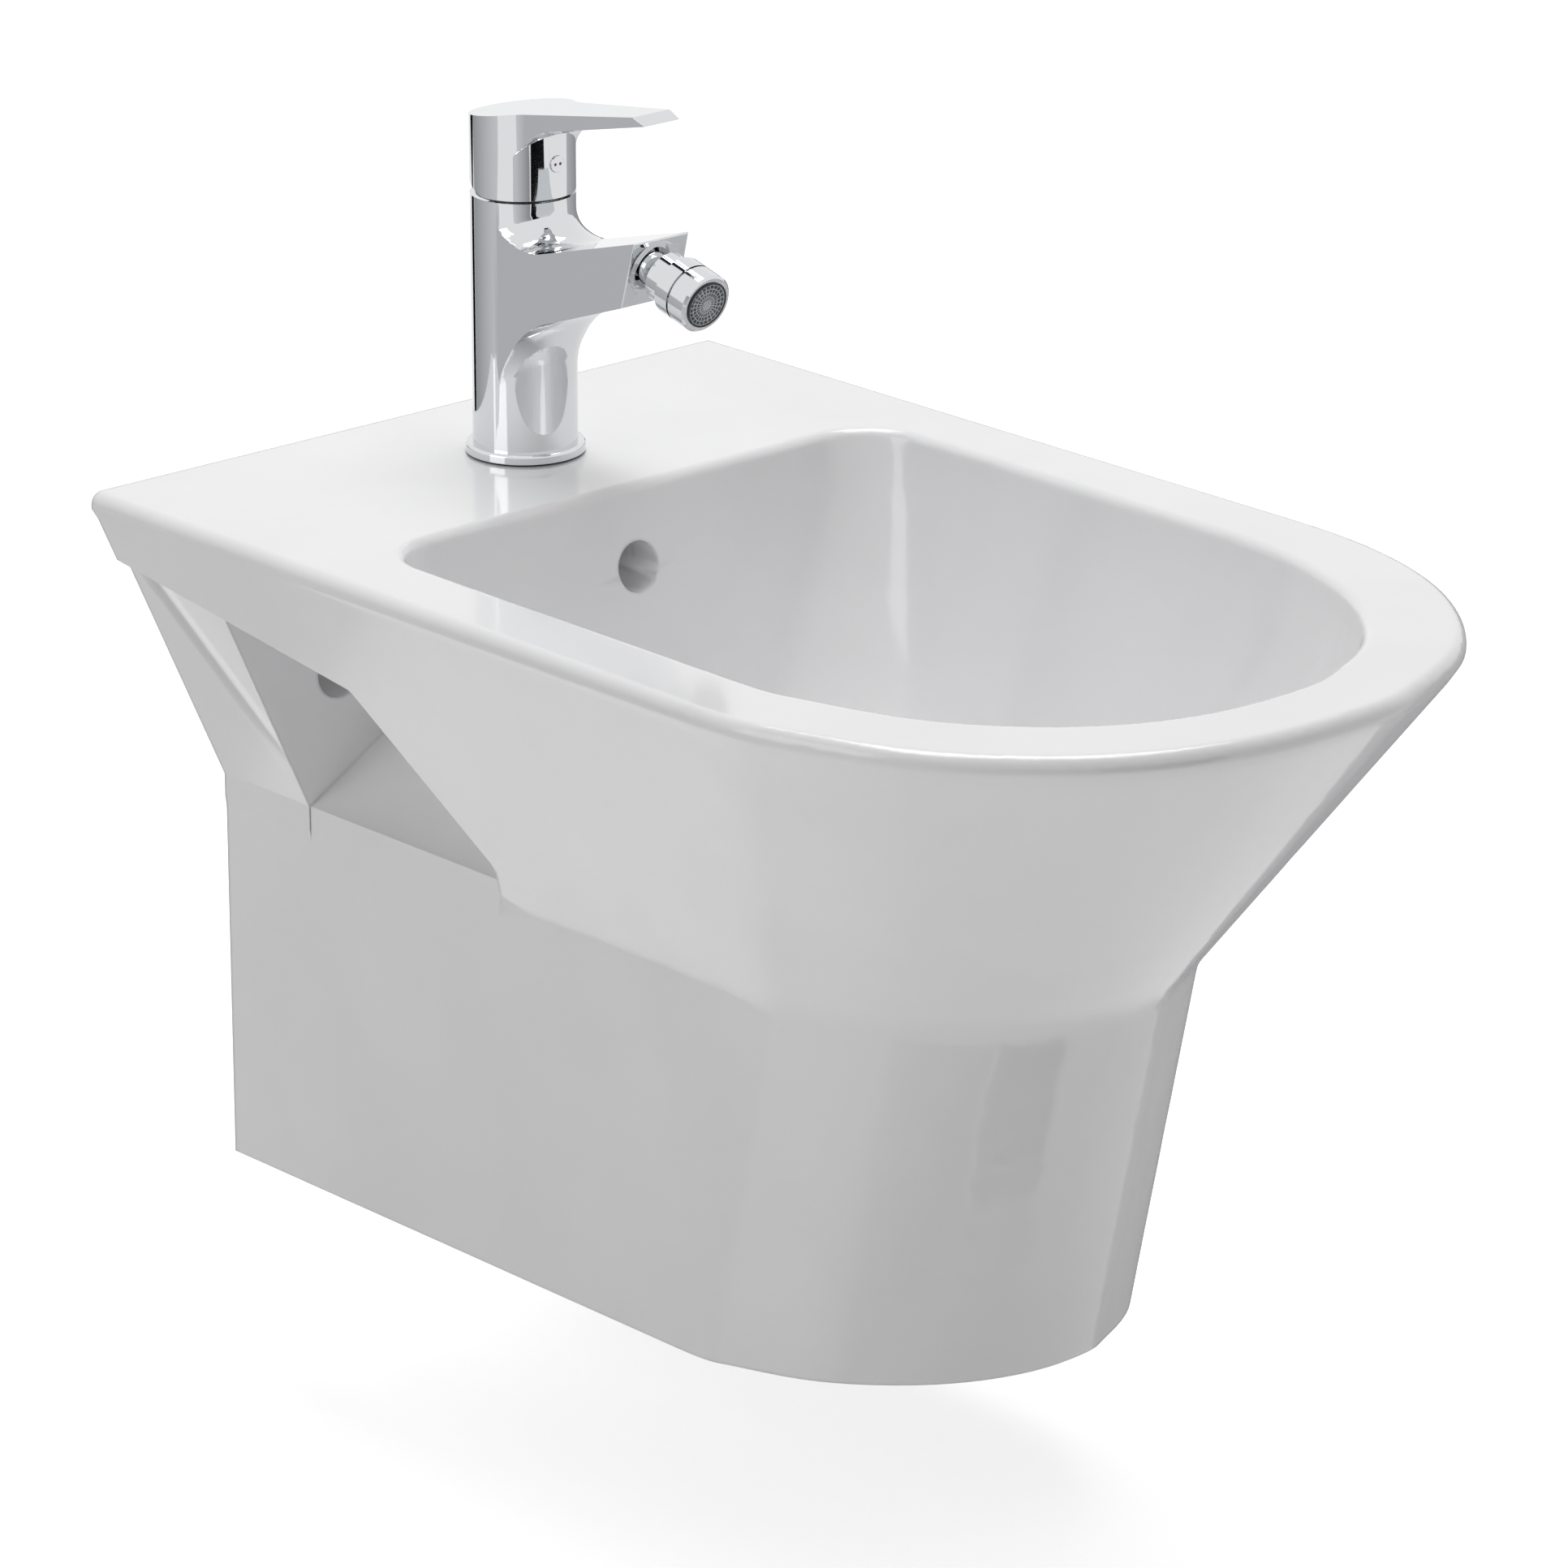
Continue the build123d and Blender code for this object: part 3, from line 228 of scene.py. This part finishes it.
def zinc_plated_steel():
    """Steel, bright zinc plated and passivated."""
    # Satin grey with a mottled crystal bloom a few millimetres across
    material, tree, place = new_material("zinc_plated_steel")
    bloom = put(tree, "TexNoise", [("Vector", place), ("Scale", lumps(4)), ("Detail", 5.0)])
    grit = put(tree, "TexNoise", [("Vector", place), ("Scale", lumps(0.6)), ("Detail", 2.0)])
    grain = put(tree, "Bump", [("Height", grit), ("Strength", 0.1), ("Distance", 0.03 * MM)])
    surface = put(tree, "BsdfPrincipled", [
        ("Base Color", put(tree, "ValToRGB", [("Fac", bloom)], [(0.3, "#AEB2B6"), (0.7, "#C3C6C8")])),
        ("Roughness", put(tree, "MapRange", [("Value", bloom), ("To Min", 0.3), ("To Max", 0.48)])),
        ("Metallic", 1.0), ("Normal", grain),
    ])
    return close_material(material, tree, surface)


def moulded_rubber():
    """Black EPDM rubber, compression moulded."""
    # Matt, with the mould's fine grain and a grey bloom of talc
    material, tree, place = new_material("moulded_rubber")
    bloom = put(tree, "TexNoise", [("Vector", place), ("Scale", lumps(6)), ("Detail", 4.0)])
    grit = put(tree, "TexNoise", [("Vector", place), ("Scale", lumps(0.5)), ("Detail", 2.0)])
    grain = put(tree, "Bump", [("Height", grit), ("Strength", 0.25), ("Distance", 0.05 * MM)])
    surface = put(tree, "BsdfPrincipled", [
        ("Base Color", put(tree, "ValToRGB", [("Fac", bloom)], [(0.35, "#1C1D1F"), (0.75, "#2C2D30")])),
        ("Roughness", put(tree, "MapRange", [("Value", bloom), ("To Min", 0.62), ("To Max", 0.78)])),
        ("IOR", 1.52), ("Normal", grain),
    ])
    return close_material(material, tree, surface)


def moulded_plastic(name, light, dark, rough_low, rough_high):
    """Injection moulded plastic with the fine spark grain of its mould."""
    # The grain breaks up highlights, and the tone drifts a little from the gate outwards
    material, tree, place = new_material(name)
    drift = put(tree, "TexNoise", [("Vector", place), ("Scale", lumps(8)), ("Detail", 2.0)])
    grit = put(tree, "TexNoise", [("Vector", place), ("Scale", lumps(0.4)), ("Detail", 3.0)])
    grain = put(tree, "Bump", [("Height", grit), ("Strength", 0.12), ("Distance", 0.04 * MM)])
    surface = put(tree, "BsdfPrincipled", [
        ("Base Color", put(tree, "ValToRGB", [("Fac", drift)], [(0.35, dark), (0.65, light)])),
        ("Roughness", put(tree, "MapRange", [("Value", drift), ("To Min", rough_low), ("To Max", rough_high)])),
        ("IOR", 1.49), ("Normal", grain),
    ])
    return close_material(material, tree, surface)


def lapped_alumina():
    """Alumina ceramic, pressed, fired and lapped flat."""
    # Off white with a faint speckle of grains and a silky lapped sheen
    material, tree, place = new_material("lapped_alumina")
    speckle = put(tree, "TexNoise", [("Vector", place), ("Scale", lumps(0.8)), ("Detail", 5.0)])
    surface = put(tree, "BsdfPrincipled", [
        ("Base Color", put(tree, "ValToRGB", [("Fac", speckle)], [(0.4, "#E4DFD5"), (0.6, "#EFECE6")])),
        ("Roughness", put(tree, "MapRange", [("Value", speckle), ("To Min", 0.18), ("To Max", 0.3)])),
        ("IOR", 1.76),
    ])
    return close_material(material, tree, surface)


finishes = {
    "vitreous_china": glazed_vitreous_china(),
    "chrome": polished_chrome(),
    "brass": turned_brass(),
    "steel": zinc_plated_steel(),
    "black_rubber": moulded_rubber(),
    "white_plastic": moulded_plastic("moulded_acetal", "#DDDEDC", "#D2D3D1", 0.3, 0.42),
    "grey_plastic": moulded_plastic("moulded_grey_acetal", "#C6C9CC", "#B4B7BA", 0.32, 0.45),
    "black_plastic": moulded_plastic("moulded_black_abs", "#242528", "#18191B", 0.28, 0.4),
    "alumina": lapped_alumina(),
    "red_mark": moulded_plastic("red_enamel_dot", "#C8372D", "#B22A22", 0.15, 0.22),
    "blue_mark": moulded_plastic("blue_enamel_dot", "#3565B4", "#28539B", 0.15, 0.22),
}
node_slots = {part["node"]: part["material_slot"] for part in frame["record"]["subparts"]}
node_bodies = {node: body for body, nodes in frame["record"]["behaviour"]["bodies"].items() for node in nodes}


def stand_for(piece, node):
    """Let a piece stand for a node: on its body, in its finish and in its place."""
    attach(piece, node_bodies[node])
    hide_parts(node)
    piece.data.materials.clear()
    piece.data.materials.append(finishes[node_slots[node]])


def join_up(node):
    """A merged copy of a node, smooth across its gentle bends, rounded at its edges where listed."""
    mesh = frame["nodes"][node].data.copy()
    mesh.name = node + "_skin"
    piece = bpy.data.objects.new(node + "_skin", mesh)
    bpy.context.collection.objects.link(piece)
    weld = piece.modifiers.new("weld", "WELD")
    weld.merge_threshold = weld_gap
    # Triangles of one flat face become that face, so its size counts in the normals
    whole = piece.modifiers.new("whole_faces", "DECIMATE")
    whole.decimate_type = "DISSOLVE"
    whole.angle_limit = flat_bend
    depsgraph = bpy.context.evaluated_depsgraph_get()
    joined = bpy.data.meshes.new_from_object(piece.evaluated_get(depsgraph))
    piece.modifiers.clear()
    piece.data = joined
    joined.name = node + "_skin"
    joined.polygons.foreach_set("use_smooth", np.ones(len(joined.polygons), dtype=bool))
    joined.set_sharp_from_angle(angle=sharp_bend)
    if node in edge_rounds:
        # A polished edge is never knife sharp
        edge = piece.modifiers.new("edge_round", "BEVEL")
        edge.width = edge_rounds[node]
        edge.segments = 2
        edge.limit_method = "ANGLE"
        edge.angle_limit = sharp_bend
    flat = piece.modifiers.new("flat_faces", "WEIGHTED_NORMAL")
    flat.keep_sharp = True
    flat.weight = 100
    stand_for(piece, node)


for node_name, node_object in frame["nodes"].items():
    node_object.data.materials.clear()
    node_object.data.materials.append(finishes[node_slots[node_name]])

for node_name in node_slots:
    if node_name not in ("plug_spring", "fixing_stud"):
        join_up(node_name)


def grid_mesh(name, points, closed_around):
    """A mesh from a grid of points shaped (along, around, 3), joined round where closed_around."""
    along, around = points.shape[:2]
    columns = around if closed_around else around - 1
    row = np.arange(along - 1)[:, None] * around
    first = np.arange(columns)[None, :]
    second = (first + 1) % around
    quads = np.stack([row + first, row + second, row + around + second, row + around + first], axis=-1)
    mesh = bpy.data.meshes.new(name)
    mesh.from_pydata(points.reshape(-1, 3).tolist(), [], quads.reshape(-1, 4).tolist())
    mesh.polygons.foreach_set("use_smooth", np.ones(len(mesh.polygons), dtype=bool))
    piece = bpy.data.objects.new(name, mesh)
    bpy.context.collection.objects.link(piece)
    return piece


def threaded_rod(node):
    """A rod with a screw thread: radius = r - depth * (0.5 - 0.5 cos(2 pi z / pitch - turn)).

    The profile runs along the rod's length and once round it, and closes on the axis at both ends.
    """
    low, high = (np.array(corner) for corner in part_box(node))
    centre = (low + high) / 2
    radius = (high[0] - low[0]) / 2
    steps = int((high[2] - low[2]) / thread_pitch * steps_per_pitch)
    heights = np.linspace(low[2], high[2], steps)[:, None]
    turn = np.linspace(0, 2 * np.pi, rod_sides, endpoint=False)[None, :]
    groove = thread_depth * (0.5 - 0.5 * np.cos(2 * np.pi * heights / thread_pitch - turn))
    end = np.minimum(heights - low[2], high[2] - heights)
    reach = np.minimum(radius - groove, radius - thread_depth + end)
    reach[0], reach[-1] = 0.0, 0.0
    points = np.stack([centre[0] + reach * np.cos(turn), centre[1] + reach * np.sin(turn),
                       heights + 0 * turn], axis=-1)
    stand_for(grid_mesh(node + "_thread", points, closed_around=True), node)


def coil_spring(node):
    """A coil spring: a round wire swept along a helix.

    The height follows a smooth step of the turn angle, so the first and last turns lie close.
    """
    low, high = (np.array(corner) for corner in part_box(node))
    centre = (low + high) / 2
    wire = spring_wire / 2
    radius = (high[0] - low[0]) / 2 - wire
    share = np.linspace(0, 1, int(spring_turns * steps_per_turn))
    smooth_step = share * share * (3 - 2 * share)
    rise = spring_end_rise * share + (1 - spring_end_rise) * smooth_step
    angle = 2 * np.pi * spring_turns * share
    spine = np.stack([centre[0] + radius * np.cos(angle), centre[1] + radius * np.sin(angle),
                      low[2] + wire + (high[2] - low[2] - 2 * wire) * rise], axis=-1)
    outward = np.stack([np.cos(angle), np.sin(angle), 0 * angle], axis=-1)
    around = np.linspace(0, 2 * np.pi, wire_sides, endpoint=False)
    thickness = np.full(share.shape, wire)
    thickness[0], thickness[-1] = 0.0, 0.0
    points = (spine[:, None] + thickness[:, None, None]
              * (np.cos(around)[None, :, None] * outward[:, None]
                 + np.sin(around)[None, :, None] * np.array([0.0, 0.0, 1.0])))
    piece = grid_mesh(node + "_coil", points[:, ::-1], closed_around=True)
    stand_for(piece, node)
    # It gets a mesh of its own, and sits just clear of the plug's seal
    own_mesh(piece)


threaded_rod("fixing_stud")
coil_spring("plug_spring")


def seen_directly(tree):
    """1 for rays from the camera or by way of a mirror or clear finish, and 0 for plain light."""
    path = put(tree, "LightPath")
    seen = put(tree, "Math", [(0, path.outputs["Is Camera Ray"]), (1, path.outputs["Is Glossy Ray"])],
               operation="MAXIMUM")
    return put(tree, "Math", [(0, seen), (1, path.outputs["Is Transmission Ray"])], operation="MAXIMUM")


def make_floor():
    """A white floor under the body, 400 mm below the rim."""
    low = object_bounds()[0]
    sides = np.array([(-1, -1), (1, -1), (1, 1), (-1, 1)]) * floor_reach
    corners = [(x, y, low[2] - floor_drop) for x, y in sides.tolist()]
    mesh = bpy.data.meshes.new("studio_floor")
    mesh.from_pydata(corners, [], [(0, 1, 2, 3)])
    floor = bpy.data.objects.new("studio_floor", mesh)
    bpy.context.collection.objects.link(floor)
    material, tree, _ = new_material("studio_floor")
    plain = put(tree, "BsdfDiffuse", [("Color", colour("#F2F2F2"))])
    # Lifts the lit floor to white where it is seen, and leaves the shadow a shade below it
    glow = put(tree, "MapRange", [("Value", seen_directly(tree)), ("To Min", 0.0), ("To Max", floor_lift)])
    lift = put(tree, "Emission", [("Color", colour("#FFFFFF")), ("Strength", glow)])
    surface = put(tree, "AddShader", [(0, plain), (1, lift)])
    floor.data.materials.append(close_material(material, tree, surface))
    floor.visible_glossy = False


def card(name, start_degrees, end_degrees, start_shade, end_shade):
    """A tall curved card round the tap that only mirror and glaze reflections see.

    Points: tap + R (cos a * to_camera + sin a * camera_right), with a from start to end. Its shade
    goes evenly from start_shade to end_shade across its width.
    """
    low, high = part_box("tap_body")
    width = high[0] - low[0]
    centre = np.array([(low[0] + high[0]) / 2, high[1] - width / 2, 0.0])
    right = np.array(bpy.context.scene.camera.matrix_world.col[0][:3])
    to_camera = np.array([right[1], -right[0], 0.0])
    angle = np.radians(np.linspace(start_degrees, end_degrees, card_columns))[None, :, None]
    height = np.array([card_low, card_high])[:, None, None] * np.array([0.0, 0.0, 1.0])
    points = centre + card_reach * (np.cos(angle) * to_camera + np.sin(angle) * right) + height
    item = grid_mesh(name, points, closed_around=False)
    first, last = points[0, 0], points[0, -1]
    across = (last - first) / np.linalg.norm(last - first)
    material, tree, place = new_material(name)
    along = put(tree, "VectorMath", [(0, place), (1, tuple(across))], operation="DOT_PRODUCT")
    share = put(tree, "MapRange", [("Value", along.outputs["Value"]), ("From Min", float(first @ across)),
                                   ("From Max", float(last @ across))])
    shade = put(tree, "ValToRGB", [("Fac", share)], [(0.0, start_shade), (1.0, end_shade)])
    glow = put(tree, "Emission", [("Color", shade), ("Strength", 1.0)])
    item.data.materials.append(close_material(material, tree, glow))
    item.visible_camera = False
    item.visible_diffuse = False
    item.visible_shadow = False
    item.visible_transmission = False


def area_lamp(name, centre, target, size, watts):
    """A square soft lamp aimed at a point."""
    data = bpy.data.lights.new(name, "AREA")
    data.shape = "SQUARE"
    data.size = size
    data.energy = watts
    lamp = bpy.data.objects.new(name, data)
    turn = (Vector(target) - Vector(centre)).to_track_quat("-Z", "Y").to_matrix().to_4x4()
    lamp.matrix_world = Matrix.Translation(Vector(centre)) @ turn
    bpy.context.collection.objects.link(lamp)


def make_world():
    """An even white studio: full white where it is seen, in metal too, and softer as light."""
    world = bpy.data.worlds.new("studio")
    bpy.context.scene.world = world
    world.use_nodes = True
    tree = world.node_tree
    tree.nodes.clear()
    level = put(tree, "MapRange", [("Value", seen_directly(tree)), ("To Min", fill_light), ("To Max", 1.0)])
    glow = put(tree, "Background", [("Color", colour("#FFFFFF")), ("Strength", level)])
    put(tree, "OutputWorld", [("Surface", glow)])


make_floor()
# The angles run round the tap from the camera's side, positive to its right
card("black_card_rear", -143, -130, "#0A0A0B", "#0A0A0B")
card("grey_card_left", -129, -54, "#A2A2A4", "#DCDCDE")
card("pale_card_camera", -19, 17, "#E2E2E4", "#98989A")
card("black_card_right", 19, 50, "#0E0E0F", "#161617")
card("grey_card_back", 112, 180, "#C2C2C4", "#868688")
make_world()
area_lamp("top_lamp", (0.4, 0.1, 2.4), (0, -0.25, 0), 1.6, 34)
area_lamp("left_lamp", (-2.4, 0.2, 0.9), (0, -0.25, -0.1), 1.4, 9)
